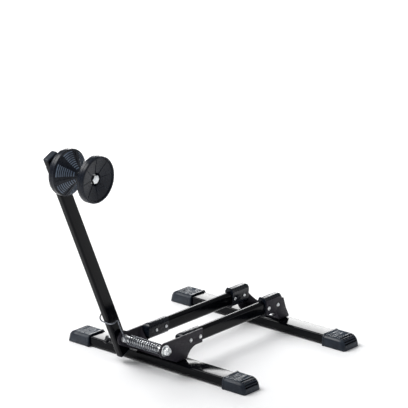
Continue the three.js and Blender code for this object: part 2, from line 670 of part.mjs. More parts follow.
function buildPivot() {
  const pivot = new THREE.Group();
  pivot.position.set(0, pivotY, PIVOT_HEIGHT);
  rack.add(pivot);
  const bushEnd = armLeft - BUSH_PROUD;
  const headFace = bushEnd - WASHER_THICKNESS - 2 * GAP;
  const nutFace = wingOuter + WASHER_THICKNESS + 2 * GAP;
  place(pivot, 'pivot_bolt', bolt(headFace, nutFace + LOCKNUT_HEIGHT + BOLT_PROTRUSION), zinc());
  place(pivot, 'pivot_head_washer',
    ringX(headFace + GAP, bushEnd - GAP, boltBore, PIVOT_HEAD_WASHER_RADIUS), zinc());
  place(pivot, 'pivot_spacer', ringX(armRight + GAP, -wingOuter - GAP, boltBore, SPACER_RADIUS), zinc());
  place(pivot, 'pivot_clamp_nut', hexNut(-wingInner + GAP, clampNutEnd, BOLT_HEAD_WIDTH, boltBore), zinc());
  place(pivot, 'spring_core_tube',
    ringX(clampNutEnd + GAP, wingInner - GAP, boltBore, SPRING_CORE_RADIUS), zinc());
  place(pivot, 'pivot_nut_washer', ringX(wingOuter + GAP, nutFace - GAP, boltBore, WASHER_RADIUS), zinc());
  place(pivot, 'pivot_locknut', locknut(nutFace), zinc());
}

// hexagon with a round collar, which holds the locking ring
function locknut(face) {
  const hex = hexNut(face, face + LOCKNUT_HEIGHT * 0.75, BOLT_HEAD_WIDTH);
  const end = face + LOCKNUT_HEIGHT;
  const collar = turnedX([[face + 2, 0], [face + 2, LOCKNUT_COLLAR], [end - 1, LOCKNUT_COLLAR],
    [end, LOCKNUT_COLLAR - 0.8], [end, 0]], 0, 0, 16);
  return hex.add(collar).subtract(rodX(face - 1, end + 1, boltBore, 0, 0));
}

// ---------- spring ----------

// a point given along the arm, in the pivot's frame
function onArm(x, behind, along) {
  return new THREE.Vector3(x,
    behind * Math.cos(armLean) - along * Math.sin(armLean),
    behind * Math.sin(armLean) + along * Math.cos(armLean));
}

// the wire's centre line: hook, long leg, coil, short leg
function springPath() {
  const wire = SPRING_WIRE / 2;
  const front = -(ARM_DEPTH / 2 + wire + GAP);
  const left = armLeft - HOOK_REACH + 1;
  const coilLeft = -SPRING_LENGTH / 2;
  const legLeft = coilLeft - 4;
  const hook = [
    onArm(left + 1, front + 7, HOOK_HEIGHT + 6), onArm(left, front + 3, HOOK_HEIGHT + 2.5),
    onArm(left + 1, front + 0.6, HOOK_HEIGHT - 1), onArm(left + 4, front, HOOK_HEIGHT - 3),
    onArm(armX, front, HOOK_HEIGHT - 3.5), onArm(armRight, front, HOOK_HEIGHT - 2.5),
    onArm(legLeft - 4, front, HOOK_HEIGHT - 0.5), onArm(legLeft - 1.2, front, HOOK_HEIGHT - 1.4),
    onArm(legLeft, front, HOOK_HEIGHT - 4), onArm(legLeft, front + 1, HOOK_HEIGHT - 14),
    onArm(coilLeft - 0.6, -SPRING_RADIUS - 0.2, 8),
  ];
  const first = Math.PI + armLean;
  const last = 1.5 * Math.PI - legSlope + SPRING_TURNS * 2 * Math.PI;
  const count = Math.round((last - first) / (2 * Math.PI) * SPRING_STEPS);
  const coil = [];
  for (let i = 0; i <= count; i += 1) {
    const angle = first + (last - first) * i / count;
    coil.push(new THREE.Vector3(coilLeft + SPRING_LENGTH * i / count,
      SPRING_RADIUS * Math.cos(angle), SPRING_RADIUS * Math.sin(angle)));
  }
  const end = coil[coil.length - 1];
  const down = new THREE.Vector3(0, Math.cos(legSlope), -Math.sin(legSlope));
  const short = [0.35, 0.7, 1].map((share) => end.clone().addScaledVector(down, share * SHORT_LEG));
  return [...hook, ...coil, ...short];
}

// one unbroken tube along the points, its section carried along without twist
function wireTube(points, radius, sides) {
  const count = points.length;
  const along = points.map((point, i) => new THREE.Vector3()
    .subVectors(points[Math.min(i + 1, count - 1)], points[Math.max(i - 1, 0)]).normalize());
  let across = new THREE.Vector3(1, 0, 0).cross(along[0]).normalize();
  const vertices = [];
  for (let i = 0; i < count; i += 1) {
    if (i > 0) {
      const turn = new THREE.Quaternion().setFromUnitVectors(along[i - 1], along[i]);
      across = across.applyQuaternion(turn).normalize();
    }
    const other = new THREE.Vector3().crossVectors(along[i], across);
    for (let k = 0; k < sides; k += 1) {
      const angle = 2 * Math.PI * k / sides;
      vertices.push(points[i].clone()
        .addScaledVector(across, radius * Math.cos(angle)).addScaledVector(other, radius * Math.sin(angle)));
    }
  }
  const faces = [];
  for (let i = 0; i < count - 1; i += 1) {
    for (let k = 0; k < sides; k += 1) {
      const [a, b] = [i * sides + k, i * sides + (k + 1) % sides];
      faces.push(a, b, b + sides, a, b + sides, a + sides);
    }
  }
  for (let k = 1; k < sides - 1; k += 1) {
    faces.push(0, k + 1, k);
    const last = (count - 1) * sides;
    faces.push(last, last + k, last + k + 1);
  }
  const geometry = new THREE.BufferGeometry().setFromPoints(vertices);
  geometry.setIndex(faces);
  geometry.computeVertexNormals();
  return geometry;
}

// least distance between the wire's surface and itself, over stretches at least half a turn apart
function leastGap(points, radius) {
  let least = Infinity;
  for (let i = 0; i < points.length; i += 1) {
    for (let j = i + SPRING_STEPS / 2; j < points.length - 1; j += 1) {
      const stretch = new THREE.Line3(points[j], points[j + 1]);
      const nearest = stretch.closestPointToPoint(points[i], true, new THREE.Vector3());
      least = Math.min(least, nearest.distanceTo(points[i]) - 2 * radius);
    }
  }
  return least;
}

function buildSpring() {
  const points = springPath();
  const mesh = new THREE.Mesh(wireTube(points, SPRING_WIRE / 2, SPRING_SIDES), springSteel());
  mesh.name = 'torsion_spring';
  mesh.position.set(0, pivotY, PIVOT_HEIGHT);
  rack.add(mesh);
  console.log(`torsion_spring: least gap to itself ${leastGap(points, SPRING_WIRE / 2).toFixed(2)} mm`);
}

// ---------- arm, in its own frame: Z along the arm, Y to its rear, pivot at the origin ----------

const arm = new THREE.Group();
arm.position.set(0, pivotY, PIVOT_HEIGHT);
arm.rotation.x = armLean;
rack.add(arm);

function armTube() {
  const section = tubeSection(ARM_WIDTH, ARM_DEPTH, ARM_CORNER, ARM_WALL);
  const tube = alongZ(section, -ARM_TAIL, armEnd, 4).translate([armX, 0, 0]);
  const drill = (radius, z) => rodX(armLeft - 1, armRight + 1, radius, 0, z, 14);
  return cutBy(tube, [
    drill(ARM_BUSH_RADIUS + HOLE_CLEARANCE, 0),
    drill(BOLT_RADIUS + HOLE_CLEARANCE, ARM_REACH),
    drill(LOCK_RADIUS + HOLE_CLEARANCE, -LOCK_BELOW),
  ]);
}

// plug for the arm's upper end, its crown stepped in all round
function armPlug() {
  const [width, depth] = [ARM_WIDTH - 2 * ARM_WALL - 2 * GAP, ARM_DEPTH - 2 * ARM_WALL - 2 * GAP];
  const insert = roundedRectangle(width, depth, ARM_CORNER - ARM_WALL - GAP);
  const top = armEnd + GAP;
  const layer = (inset, height) => {
    const outline = roundedRectangle(ARM_WIDTH - 2 * inset, ARM_DEPTH - 2 * inset, ARM_CORNER - inset);
    return alongZ(outline, top, top + height, 3);
  };
  return joined([
    alongZ(insert, top - PLUG_INSERT, top + 0.5, 2), layer(0, PLUG_CROWN * 0.6), layer(1.2, PLUG_CROWN),
  ]).translate([armX, 0, 0]);
}

function buildArm() {
  place(arm, 'arm_tube', armTube(), blackPaint());
  place(arm, 'arm_top_plug', armPlug(), capPlastic());
  const upsideDown = armPlug().rotate([180, 0, 0]).translate([0, 0, armEnd - ARM_TAIL]);
  place(arm, 'arm_bottom_plug', upsideDown, capPlastic());
  place(arm, 'arm_pivot_bush', ringX(armLeft - BUSH_PROUD, armRight, boltBore, ARM_BUSH_RADIUS), zinc());
}

// ---------- roller ----------

const dishFloor = ROLLER_HALF_WIDTH - ROLLER_DISH;
const hubSeat = dishFloor - ROLLER_HUB_DROP;

// half-width of the groove at a radius: narrow at the waist, opening like a V with curved sides
function grooveAt(radius) {
  const share = (radius - ROLLER_WAIST) / (ROLLER_RADIUS - ROLLER_WAIST);
  return GAP / 2 + (ROLLER_HALF_WIDTH - ROLLER_RIM) * share ** 0.62;
}

// one half of the roller on the X axis, its dished face towards +X
function rollerHalf() {
  const bore = AXLE_TUBE_RADIUS + ROLLER_BORE_CLEARANCE;
  const rim = ROLLER_HALF_WIDTH;
  const profile = [[GAP / 2, bore], [GAP / 2, ROLLER_WAIST]];
  const rise = (ROLLER_RADIUS - ROLLER_WAIST - 2) / ROLLER_RIDGES;
  for (let i = 1; i <= ROLLER_RIDGES; i += 1) {
    const radius = ROLLER_WAIST + i * rise;
    profile.push([grooveAt(radius) - ROLLER_RIDGE_HEIGHT, radius - rise * 0.3], [grooveAt(radius), radius]);
  }
  profile.push(
    [rim - ROLLER_RIM + 1, ROLLER_RADIUS], [rim - 1.5, ROLLER_RADIUS - 0.6], [rim, ROLLER_RADIUS - 2],
    [rim, ROLLER_RADIUS - ROLLER_LIP], [rim - 2.2, ROLLER_RADIUS - ROLLER_LIP - 0.6],
    [dishFloor, ROLLER_HUB_RADIUS], [hubSeat, ROLLER_HUB_RADIUS - 1], [hubSeat, bore], [GAP / 2, bore],
  );
  const ribs = [];
  for (let i = 0; i < ROLLER_RIBS; i += 1) ribs.push(rollerRib().rotate([i * 360 / ROLLER_RIBS, 0, 0]));
  return joined([turnedX(profile, 0, 0, 30), ...ribs]);
}

// radial rib on the dished face, standing towards +Y from the hub to the lip
function rollerRib() {
  const root = ROLLER_HUB_RADIUS;
  const end = ROLLER_RADIUS - ROLLER_LIP + 1;
  const slope = polygon([[root, dishFloor - 2], [root, dishFloor + 1.3],
    [end, ROLLER_HALF_WIDTH - 1], [end, ROLLER_HALF_WIDTH - 4]]);
  const geometry = extruded(slope, ROLLER_RIB_THICKNESS).translate(0, 0, -ROLLER_RIB_THICKNESS / 2);
  const turn = new THREE.Matrix4().makeBasis(
    new THREE.Vector3(0, 1, 0), new THREE.Vector3(1, 0, 0), new THREE.Vector3(0, 0, 1));
  return solid(geometry.applyMatrix4(turn));
}

function buildRoller() {
  const axle = new THREE.Group();
  axle.position.z = ARM_REACH;
  arm.add(axle);
  const half = rollerHalf();
  place(axle, 'roller_right_half', half, rollerPlastic());
  const turned = new THREE.Group();
  turned.rotation.z = Math.PI;
  axle.add(turned);
  place(turned, 'roller_left_half', half, rollerPlastic());

  const washerFace = hubSeat + 2 * GAP;
  const headFace = washerFace + WASHER_THICKNESS + GAP;
  const spacerEnd = -hubSeat - GAP;
  const nutFace = armLeft - WASHER_THICKNESS - 2 * GAP;
  place(axle, 'axle_bolt', bolt(headFace, nutFace - CLAMP_NUT_HEIGHT - BOLT_PROTRUSION), zinc());
  place(axle, 'axle_head_washer',
    ringX(washerFace, headFace - GAP, boltBore, AXLE_WASHER_RADIUS), zinc());
  place(axle, 'axle_tube', ringX(spacerEnd + GAP, washerFace - GAP, boltBore, AXLE_TUBE_RADIUS), zinc());
  const foot = armRight + GAP;
  const taper = [[foot, boltBore], [foot, AXLE_SPACER_FOOT], [foot + 5, AXLE_SPACER_FOOT],
    [spacerEnd - 3, AXLE_SPACER_TIP], [spacerEnd, AXLE_SPACER_TIP], [spacerEnd, boltBore], [foot, boltBore]];
  place(axle, 'axle_spacer', turnedX(taper, 0, 0, 18), rollerPlastic());
  place(axle, 'axle_nut_washer', ringX(nutFace + GAP, armLeft - GAP, boltBore, AXLE_WASHER_RADIUS), zinc());
  place(axle, 'axle_nut', hexNut(nutFace - CLAMP_NUT_HEIGHT, nutFace, BOLT_HEAD_WIDTH, boltBore), zinc());
}

// ---------- thumbscrew ----------

function buildLock() {
  const lock = new THREE.Group();
  lock.position.z = -LOCK_BELOW;
  arm.add(lock);
  const bore = LOCK_RADIUS + THREAD_CLEARANCE;
  const nutFace = armRight + GAP;
  place(lock, 'lock_nut', hexNut(nutFace, nutFace + LOCK_NUT_HEIGHT, LOCK_NUT_WIDTH, bore), zinc());
  const knobFace = armLeft - KNOB_STANDOFF;
  const knobEnd = knobFace - KNOB_LENGTH;
  const studEnd = knobEnd + 3;
  const tip = -wingOuter - LOCK_TIP_CLEARANCE;
  const stud = turnedX([[studEnd, 0], [studEnd, LOCK_RADIUS], [tip - 0.6, LOCK_RADIUS],
    [tip, LOCK_RADIUS - 0.6], [tip, 0]], 0, 0, 12);
  place(lock, 'lock_stud', stud, zinc());
  const hub = turnedX([[knobEnd, 0], [knobEnd, 0.7 * KNOB_HUB_RADIUS], [knobEnd + 1, 0.9 * KNOB_HUB_RADIUS],
    [knobFace - 1, KNOB_HUB_RADIUS], [knobFace, 0.9 * KNOB_HUB_RADIUS], [knobFace, 0]], 0, 0, 16);
  const bar = roundedRectangle(KNOB_SPAN, KNOB_BAR_WIDTH, KNOB_BAR_WIDTH / 2 - 2 * HAIR);
  const wings = alongX(bar, knobEnd + 1.5, knobEnd + 8, 4);
  const socket = rodX(studEnd - GAP, knobFace + 1, bore, 0, 0);
  place(lock, 'lock_knob', hub.add(wings).subtract(socket), knobPlastic());
}

buildFoot('front', frontFootY, BRACKET_SCREW_INSET);
buildFoot('rear', rearFootY, -BRACKET_SCREW_INSET);
buildBracket('front');
buildBracket('rear');
buildRails();
buildPivot();
buildSpring();
buildArm();
buildRoller();
buildLock();

// the origin goes under the middle of the standing rack
const standing = new THREE.Box3().setFromObject(rack, true);
const middleY = (standing.min.y + standing.max.y) / 2;
for (const piece of rack.children) piece.position.y -= middleY;
console.log(`pivot at y ${(pivotY - middleY).toFixed(3)}`);

export default rack;
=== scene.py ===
import math

import bmesh
import bpy
from mathutils import Matrix, Vector
from mathutils.geometry import interpolate_bezier


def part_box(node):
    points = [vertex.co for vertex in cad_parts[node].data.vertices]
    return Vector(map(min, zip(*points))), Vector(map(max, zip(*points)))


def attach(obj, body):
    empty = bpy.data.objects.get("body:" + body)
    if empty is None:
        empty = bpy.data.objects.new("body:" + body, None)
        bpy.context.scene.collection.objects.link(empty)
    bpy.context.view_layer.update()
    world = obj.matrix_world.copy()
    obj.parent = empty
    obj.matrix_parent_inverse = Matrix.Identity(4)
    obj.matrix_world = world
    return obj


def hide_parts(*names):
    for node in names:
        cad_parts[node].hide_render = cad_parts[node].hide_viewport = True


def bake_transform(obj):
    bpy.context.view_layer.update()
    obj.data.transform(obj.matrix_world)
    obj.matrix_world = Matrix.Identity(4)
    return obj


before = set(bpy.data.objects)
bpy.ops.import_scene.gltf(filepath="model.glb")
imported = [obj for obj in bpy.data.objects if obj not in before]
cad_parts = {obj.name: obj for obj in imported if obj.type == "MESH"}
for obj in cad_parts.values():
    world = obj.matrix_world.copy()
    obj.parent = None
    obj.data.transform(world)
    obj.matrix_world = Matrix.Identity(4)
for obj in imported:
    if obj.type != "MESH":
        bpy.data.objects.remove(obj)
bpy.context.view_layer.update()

# A folding floor rack for one bicycle wheel. Every shape is drawn in millimetres and scaled at the end.
MM = 0.001
FULL_TURN = 2 * math.pi

# ---------- sizes ----------

# feet: rounded tubes with moulded caps
FOOT_WALL = 1.4
FOOT_CORNER = 3.2
CAP_LIP = 0.8

# rails: flat-oval tubes in moulded sleeves
RAIL_WIDTH = 12.6
RAIL_HEIGHT = 25
RAIL_WALL = 1.3

# arm
ARM_LEAN = math.radians(25.5)
ARM_WIDTH = 13
ARM_DEPTH = 25
ARM_WALL = 1.5
ARM_CORNER = 3.5
ARM_REACH = 363.3
ARM_HEAD = 24
ARM_TAIL = 34
PLUG_CROWN = 3

# roller, one half on each side of the middle
ROLLER_RADIUS = 38.7
ROLLER_HALF_WIDTH = 36.5
ROLLER_RIM = 12
ROLLER_WAIST = 9
ROLLER_DISH = 6.5
ROLLER_LIP = 3.5
ROLLER_BORE = 5.8
ROLLER_HUB = 11
ROLLER_HUB_DROP = 6.5
ROLLER_RIDGES = 9
ROLLER_PANELS = 6
RIDGE_ARC = math.radians(34)
DISH_RIBS = 8
GROOVE_RIB_TURN = math.radians(16.5)
DISH_RIB_TURN = math.radians(21.5)

# fasteners
BOLT_RADIUS = 4
BOLT_PITCH = 1.25
M8_BORE = 4.15
M5_BORE = 2.65
AXLE_WASHER_RADIUS = 7.8
HEX_WIDTH = 13
LOCK_RADIUS = 2.5
LOCK_PITCH = 0.8
RIVET_HEAD_RADIUS = 3.7
SCREW_HEAD_RADIUS = 5.5

# torsion spring
WIRE_RADIUS = 1.2
COIL_RADIUS = 7.9
COIL_TURNS = 13
COIL_LENGTH = 64
COIL_LEFT = -29
LEG_PLACE = -39
HOOK_HEIGHT = 46
SHORT_LEG = 52
SHORT_LEG_SLOPE = math.radians(10)


def span(node):
    """Lowest and highest corner of a frame node, in millimetres."""
    low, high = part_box(node)
    return Vector(low) / MM, Vector(high) / MM


def middle(node):
    low, high = span(node)
    return (low + high) / 2


pivot = middle("pivot_bolt")
pivot.x = 0
arm_left = span("arm_tube")[0].x
arm_right = span("arm_tube")[1].x
arm_x = (arm_left + arm_right) / 2

# from the arm's own frame (z along the arm, y to its rear) to the rack's
ARM_TO_RACK = Matrix.Translation(pivot) @ Matrix.Rotation(ARM_LEAN, 4, "X")

# ---------- materials ----------


def finish_of(name, colour, roughness, metallic=0.0, **sockets):
    """A new material with its shader's colour, roughness, metal and other sockets set."""
    material = bpy.data.materials.new(name)
    material.use_nodes = True
    tree = material.node_tree
    shader = tree.nodes["Principled BSDF"]
    shader.inputs["Base Color"].default_value = (*colour, 1)
    shader.inputs["Roughness"].default_value = roughness
    shader.inputs["Metallic"].default_value = metallic
    for socket, value in sockets.items():
        shader.inputs[socket.replace("_", " ")].default_value = value
    material.diffuse_color = (*colour, 1)
    return material, tree, shader


def grain(tree, size, detail=3.0, stretch=(1, 1, 1)):
    """Noise whose lumps are about size millimetres across, drawn out along the stretched axes."""
    places = tree.nodes.new("ShaderNodeTexCoord")
    mapping = tree.nodes.new("ShaderNodeMapping")
    mapping.inputs["Scale"].default_value = stretch
    noise = tree.nodes.new("ShaderNodeTexNoise")
    noise.inputs["Scale"].default_value = 1 / (size * MM)
    noise.inputs["Detail"].default_value = detail
    tree.links.new(places.outputs["Object"], mapping.inputs["Vector"])
    tree.links.new(mapping.outputs["Vector"], noise.inputs["Vector"])
    return noise.outputs["Fac"]


def spread(tree, value, low, high, start=0.3, stop=0.7):
    """Maps a pattern onto the range from low to high."""
    ranged = tree.nodes.new("ShaderNodeMapRange")
    ranged.inputs["From Min"].default_value = start
    ranged.inputs["From Max"].default_value = stop
    ranged.inputs["To Min"].default_value = low
    ranged.inputs["To Max"].default_value = high
    tree.links.new(value, ranged.inputs["Value"])
    return ranged.outputs["Result"]


def two_tone(tree, value, dark, light, start=0.35, stop=0.65):
    """A colour that goes from dark to light with a pattern."""
    ramp = tree.nodes.new("ShaderNodeValToRGB")
    ramp.color_ramp.elements[0].position = start
    ramp.color_ramp.elements[0].color = (*dark, 1)
    ramp.color_ramp.elements[1].position = stop
    ramp.color_ramp.elements[1].color = (*light, 1)
    tree.links.new(value, ramp.inputs["Fac"])
    return ramp.outputs["Color"]


def bump(tree, shader, height, depth, under=None):
    """Raises the surface by a pattern, depth millimetres high."""
    relief = tree.nodes.new("ShaderNodeBump")
    relief.inputs["Distance"].default_value = depth * MM
    tree.links.new(height, relief.inputs["Height"])
    if under is not None:
        tree.links.new(under, relief.inputs["Normal"])
    tree.links.new(relief.outputs["Normal"], shader.inputs["Normal"])
    return relief.outputs["Normal"]


def gloss_powder_coat():
    """Deep black that is dull face on and mirrors the studio along its flat tops."""
    material, tree, shader = finish_of("gloss_powder_coat", (0.0015, 0.0018, 0.0028), 0.12, IOR=1.21)
    tree.links.new(two_tone(tree, grain(tree, 60), (0.0010, 0.0012, 0.0020), (0.0022, 0.0026, 0.0040)),
                   shader.inputs["Base Color"])
    tree.links.new(spread(tree, grain(tree, 9, 5), 0.10, 0.16), shader.inputs["Roughness"])
    peel = bump(tree, shader, grain(tree, 2.2, 1), 0.006)
    bump(tree, shader, grain(tree, 0.5, 2), 0.0015, peel)
    return material


def satin_powder_coat():
    """Charcoal with a fine rough skin, for the pressed brackets."""
    material, tree, shader = finish_of("satin_powder_coat", (0.022, 0.020, 0.026), 0.5, IOR=1.3)
    tree.links.new(two_tone(tree, grain(tree, 25, 4), (0.017, 0.015, 0.021), (0.028, 0.025, 0.033)),
                   shader.inputs["Base Color"])
    tree.links.new(spread(tree, grain(tree, 6, 5), 0.42, 0.58), shader.inputs["Roughness"])
    peel = bump(tree, shader, grain(tree, 1.3, 2), 0.035)
    bump(tree, shader, grain(tree, 0.35, 2), 0.012, peel)
    return material


def moulded_plastic(name, dark, light, roughness, depth=0.02, ior=1.4):
    """Moulded plastic with a fine spark-eroded skin and slow changes of tone."""
    material, tree, shader = finish_of(name, dark, roughness, IOR=ior)
    tree.links.new(two_tone(tree, grain(tree, 14, 5), dark, light), shader.inputs["Base Color"])
    tree.links.new(spread(tree, grain(tree, 4, 4), roughness - 0.07, roughness + 0.09),
                   shader.inputs["Roughness"])
    skin = bump(tree, shader, grain(tree, 0.45, 2), depth)
    bump(tree, shader, grain(tree, 11, 1), 0.06, skin)
    return material


def zinc_plate():
    """Bright plating with the marks of the tool that turned the piece."""
    material, tree, shader = finish_of("zinc_plate", (0.8, 0.82, 0.84), 0.3, 1.0)
    tree.links.new(two_tone(tree, grain(tree, 5, 4), (0.66, 0.69, 0.72), (0.90, 0.91, 0.90)),
                   shader.inputs["Base Color"])
    tree.links.new(spread(tree, grain(tree, 1.5, 5), 0.22, 0.45), shader.inputs["Roughness"])
    worked = bump(tree, shader, grain(tree, 1.2, 4, (6, 1, 1)), 0.02)
    bump(tree, shader, grain(tree, 0.3, 2), 0.006, worked)
    return material


def drawn_wire():
    """Dark oil-hardened spring wire, brighter where it was drawn smooth."""
    material, tree, shader = finish_of("drawn_wire", (0.2, 0.21, 0.23), 0.25, 1.0)
    tree.links.new(two_tone(tree, grain(tree, 3, 4), (0.07, 0.075, 0.085), (0.22, 0.23, 0.26)),
                   shader.inputs["Base Color"])
    tree.links.new(spread(tree, grain(tree, 1, 4), 0.16, 0.34), shader.inputs["Roughness"])
    bump(tree, shader, grain(tree, 0.4, 3, (0.2, 1, 1)), 0.012)
    return material


gloss_black = gloss_powder_coat()
satin_charcoal = satin_powder_coat()
cap_plastic = moulded_plastic("cap_plastic", (0.007, 0.011, 0.019), (0.013, 0.020, 0.031), 0.38, ior=1.36)
# lighter plastic on the caps' upward ridge tops: a painted highlight where the light from above falls
tread_highlight_plastic = moulded_plastic("tread_painted_highlight", (0.035, 0.048, 0.068), (0.075, 0.095, 0.125), 0.3,
                                ior=1.4)
# near-black plastic on the caps' groove floors: painted shade in the grooves
groove_shade_plastic = moulded_plastic("groove_painted_shade", (0.002, 0.003, 0.005), (0.005, 0.007, 0.010), 0.7,
                                 ior=1.1)
sleeve_plastic = moulded_plastic("sleeve_plastic", (0.0025, 0.004, 0.008), (0.006, 0.009, 0.015), 0.26,
                                 ior=1.3)
roller_plastic = moulded_plastic("roller_plastic", (0.0035, 0.0055, 0.011), (0.0075, 0.0105, 0.018), 0.28,
                                 ior=1.33)
# lighter plastic on the roller's groove ridges: a painted highlight on their crests
ridge_highlight_plastic = moulded_plastic("ridge_painted_highlight", (0.07, 0.095, 0.14), (0.15, 0.19, 0.25), 0.3)
knob_plastic = moulded_plastic("knob_plastic", (0.004, 0.005, 0.007), (0.009, 0.010, 0.013), 0.4, ior=1.33)
zinc = zinc_plate()
spring_wire = drawn_wire()

# ---------- shaping ----------


def flat_face(corners, plane):
    """One face through a few corners given as pairs, in the yz, xz or xy plane."""
    shape = bmesh.new()
    spots = {"yz": lambda a, b: (0, a, b), "xz": lambda a, b: (a, 0, b), "xy": lambda a, b: (a, b, 0)}
    shape.faces.new([shape.verts.new(spots[plane](a, b)) for a, b in corners])
    return shape


def rectangle(width, height, plane):
    """A flat rectangle about the origin."""
    a, b = width / 2, height / 2
    return flat_face([(-a, -b), (a, -b), (a, b), (-a, b)], plane)


def round_corners(shape, radius, segments=5, corners=None):
    bmesh.ops.bevel(shape, geom=corners or shape.verts[:], offset=radius, segments=segments, profile=0.5,
                    affect="VERTICES", material=-1, clamp_overlap=True)


def hollow_out(shape, wall):
    """Leaves only the wall of a flat face."""
    inner = shape.faces[:]
    bmesh.ops.inset_region(shape, faces=inner, thickness=wall, use_boundary=True, use_even_offset=True)
    bmesh.ops.delete(shape, geom=inner, context="FACES_ONLY")


def draw_out(shape, along):
    """Extrudes the flat faces into a closed body."""
    made = bmesh.ops.extrude_face_region(shape, geom=shape.faces[:])
    far = [v for v in made["geom"] if isinstance(v, bmesh.types.BMVert)]
    bmesh.ops.translate(shape, vec=along, verts=far)
    bmesh.ops.recalc_face_normals(shape, faces=shape.faces)


def soften(shape, width, segments=2, over=30):
    """Rounds every edge that turns by more than the given degrees."""
    sharp = [e for e in shape.edges if e.is_manifold and e.calc_face_angle(0) > math.radians(over)]
    bmesh.ops.bevel(shape, geom=sharp, offset=width, segments=segments, profile=0.5, affect="EDGES",
                    material=-1, clamp_overlap=True)


def turn_on_x(profile, steps=48, closed=False, easing=0):
    """Spins a profile of (x, radius) pairs round the X axis. easing rounds its corners first."""
    shape = bmesh.new()
    spots = [shape.verts.new((x, 0, radius)) for x, radius in profile]
    for near, far in zip(spots, spots[1:]):
        shape.edges.new((near, far))
    if closed:
        shape.edges.new((spots[-1], spots[0]))
    if easing:
        corners = [v for v in shape.verts if len(v.link_edges) == 2 and v.co.z > 0.01]
        bmesh.ops.bevel(shape, geom=corners, offset=easing, segments=2, profile=0.5, affect="VERTICES",
                        material=-1, clamp_overlap=True)
    bmesh.ops.spin(shape, geom=shape.verts[:] + shape.edges[:], cent=(0, 0, 0), axis=(1, 0, 0),
                   angle=FULL_TURN, steps=steps, use_merge=True)
    bmesh.ops.remove_doubles(shape, verts=shape.verts, dist=0.002)
    bmesh.ops.recalc_face_normals(shape, faces=shape.faces)
    return shape


def cut_flats(shape, across, count=6):
    """Cuts flats on a round blank that lies on the X axis."""
    for step in range(count):
        turn = step * FULL_TURN / count
        way = Vector((0, math.cos(turn), math.sin(turn)))
        cut = bmesh.ops.bisect_plane(shape, geom=shape.verts[:] + shape.edges[:] + shape.faces[:],
                                     plane_co=way * across / 2, plane_no=way, clear_outer=True)
        rim = [e for e in cut["geom_cut"] if isinstance(e, bmesh.types.BMEdge)]
        bmesh.ops.edgeloop_fill(shape, edges=rim)
    bmesh.ops.recalc_face_normals(shape, faces=shape.faces)


def add(shape, other):
    """Puts a second shape into the first."""
    carrier = bpy.data.meshes.new("carrier")
    other.to_mesh(carrier)
    other.free()
    shape.from_mesh(carrier)
    bpy.data.meshes.remove(carrier)
    return shape


def moved(shape, matrix):
    bmesh.ops.transform(shape, matrix=matrix, verts=shape.verts)
    return shape


def shifted(shape, x=0, y=0, z=0):
    return moved(shape, Matrix.Translation((x, y, z)))


def piece(name, shape, body, material, nodes=None, crease=32):
    """Makes a shape drawn in millimetres a piece of the rack, in place of its frame nodes."""
    bmesh.ops.scale(shape, vec=(MM, MM, MM), verts=shape.verts)
    mesh = bpy.data.meshes.new(name)
    shape.to_mesh(mesh)
    shape.free()
    mesh.shade_smooth()
    mesh.set_sharp_from_angle(angle=math.radians(crease))
    mesh.materials.append(material)
    made = bpy.data.objects.new(name, mesh)
    bpy.context.scene.collection.objects.link(made)
    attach(made, body)
    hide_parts(*([nodes] if isinstance(nodes, str) else nodes or []))
    return made


def refined(node):
    """A frame node's own shape, merged and with its flat faces whole, ready for softer edges."""
    shape = bmesh.new()
    shape.from_mesh(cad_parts[node].data)
    bmesh.ops.scale(shape, vec=(1 / MM, 1 / MM, 1 / MM), verts=shape.verts)
    bmesh.ops.remove_doubles(shape, verts=shape.verts, dist=0.004)
    bmesh.ops.dissolve_limit(shape, angle_limit=math.radians(1), verts=shape.verts, edges=shape.edges)
    return shape


# ---------- feet ----------


def foot_tube(node):
    low, high = span(node)
    shape = rectangle(high.y - low.y, high.z - low.z, "yz")
    round_corners(shape, FOOT_CORNER, 6)
    hollow_out(shape, FOOT_WALL)
    draw_out(shape, (high.x - low.x, 0, 0))
    shifted(shape, low.x, (low.y + high.y) / 2, (low.z + high.z) / 2)
    piece(node + "_painted", shape, "base", gloss_black, node)


def foot_cap(node):
    """A cap with softened corners, a painted highlight on the ridge tops of its tread and painted shade on
    its groove floors.
    """
    shape = refined(node)
    top = max(spot.co.z for spot in shape.verts)
    outline = [edge for edge in shape.edges
               if edge.calc_face_angle(0) > math.radians(24)
               and min(spot.co.z for spot in edge.verts) < top - 3]
    bmesh.ops.bevel(shape, geom=outline, offset=0.5, affect="EDGES", segments=3, profile=0.5, material=-1)
    bmesh.ops.recalc_face_normals(shape, faces=shape.faces)
    # ridge tops take the lighter plastic as a painted highlight, groove floors the near-black plastic as
    # painted shade
    for face in shape.faces:
        depth = top - CAP_LIP - face.calc_center_median().z
        if face.normal.z > 0.95 and -0.1 < depth < 2:
            face.material_index = 1 if depth < 0.1 else 2
    cap = piece(node + "_moulded", shape, "base", cap_plastic, node, 40)
    cap.data.materials.append(tread_highlight_plastic)
    cap.data.materials.append(groove_shade_plastic)


for end in ("front", "rear"):
    foot_tube(end + "_foot_tube")
    for side in ("right", "left"):
        foot_cap(f"{end}_{side}_foot_cap")

# ---------- brackets ----------

for end in ("front", "rear"):
    pressed = refined(end + "_bracket")
    soften(pressed, 0.45, 2, 35)
    piece(end + "_bracket_pressed", pressed, "base", satin_charcoal, end + "_bracket", 34)


